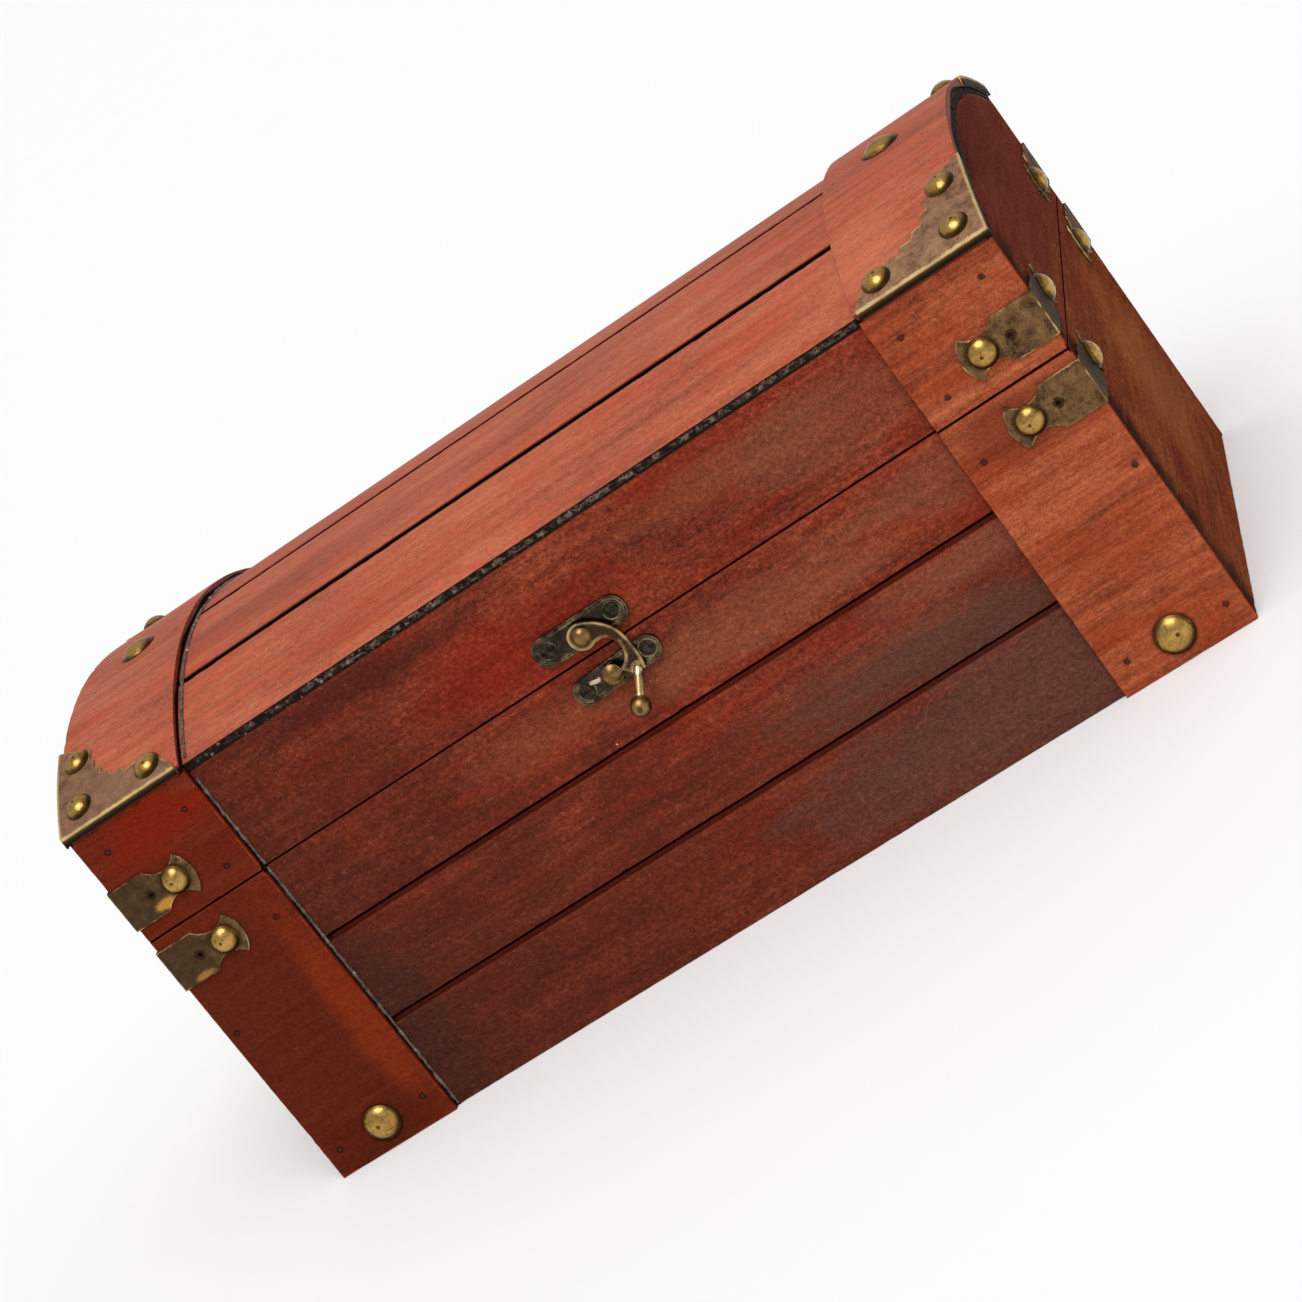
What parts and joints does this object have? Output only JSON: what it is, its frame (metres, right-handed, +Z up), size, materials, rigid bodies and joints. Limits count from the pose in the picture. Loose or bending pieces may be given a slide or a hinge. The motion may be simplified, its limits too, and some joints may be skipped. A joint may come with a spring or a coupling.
{
  "type": "wooden storage box",
  "caption": "Small wooden storage box with an arched hinged lid, corner battens, brass straps and brackets, dome nails and a swing latch.",
  "frame": {"origin": "middle of the underside, on the surface that the box stands on", "axes": "+X along the long side to the right, -Y out of the front with the latch, +Z up"},
  "size_m": [0.2452, 0.132, 0.117],
  "materials": {
    "plank_wood": "dark red-brown stain under thin varnish",
    "top_wood": "orange-brown stain under thin varnish",
    "batten_wood": "red-orange stain, worn at the edges",
    "end_wood": "brown stain, satin",
    "floor_wood": "bare wood",
    "plate_brass": "aged brass plate, worn bright at the edges",
    "nail_brass": "polished brass",
    "latch_bronze": "dark bronze with bright worn rims",
    "latch_bright": "worn bright bronze",
    "hinge_brass": "plain brass",
    "pin_steel": "dark steel"
  },
  "bodies": {
    "box_body": {"back_plank_lower": "plank_wood", "back_plank_middle": "plank_wood", "back_plank_upper": "plank_wood", "body_batten_back_left": "batten_wood", "body_batten_back_right": "batten_wood", "body_batten_front_left": "batten_wood", "body_batten_front_right": "batten_wood", "body_brads": "pin_steel", "body_strap_back_left": "plate_brass", "body_strap_back_right": "plate_brass", "body_strap_front_left": "plate_brass", "body_strap_front_right": "plate_brass", "body_strap_nails": "nail_brass", "end_panel_left": "end_wood", "end_panel_right": "end_wood", "floor_panel": "floor_wood", "foot_nails": "nail_brass", "front_plank_lower": "plank_wood", "front_plank_middle": "plank_wood", "front_plank_upper": "plank_wood", "hinge_body_leaf_left": "hinge_brass", "hinge_body_leaf_right": "hinge_brass", "hinge_body_screws": "hinge_brass", "hinge_pins": "hinge_brass", "keeper_plate": "latch_bronze", "keeper_post": "latch_bright", "keeper_screws": "latch_bright"},
    "lid": {"hinge_lid_leaf_left": "hinge_brass", "hinge_lid_leaf_right": "hinge_brass", "hinge_lid_screws": "hinge_brass", "latch_plate": "latch_bronze", "latch_plate_screws": "latch_bright", "latch_rivet": "latch_bright", "lid_back_plank": "plank_wood", "lid_batten_back_left": "batten_wood", "lid_batten_back_right": "batten_wood", "lid_batten_front_left": "batten_wood", "lid_batten_front_right": "batten_wood", "lid_bracket_back_left": "plate_brass", "lid_bracket_back_right": "plate_brass", "lid_bracket_front_left": "plate_brass", "lid_bracket_front_right": "plate_brass", "lid_brads": "pin_steel", "lid_dome_nails": "nail_brass", "lid_end_panel_left": "end_wood", "lid_end_panel_right": "end_wood", "lid_front_plank": "plank_wood", "lid_strap_back_left": "plate_brass", "lid_strap_back_right": "plate_brass", "lid_strap_front_left": "plate_brass", "lid_strap_front_right": "plate_brass", "lid_top_batten_left": "batten_wood", "lid_top_batten_right": "batten_wood", "lid_top_plank_back": "top_wood", "lid_top_plank_back_crown": "top_wood", "lid_top_plank_front": "top_wood", "lid_top_plank_front_crown": "top_wood"},
    "latch_arm": {"latch_arm": "latch_bronze"}
  },
  "joints": [
    {"name": "lid_hinge", "type": "hinge", "parent": "box_body", "child": "lid", "pos_m": [0, 0.0612, 0.0703], "axis": [-1, 0, 0], "range_deg": [0, 140]},
    {"name": "latch_swing", "type": "hinge", "parent": "lid", "child": "latch_arm", "pos_m": [0.0016, -0.061, 0.0753], "axis": [0, -1, 0], "range_deg": [0, 100]}
  ]
}
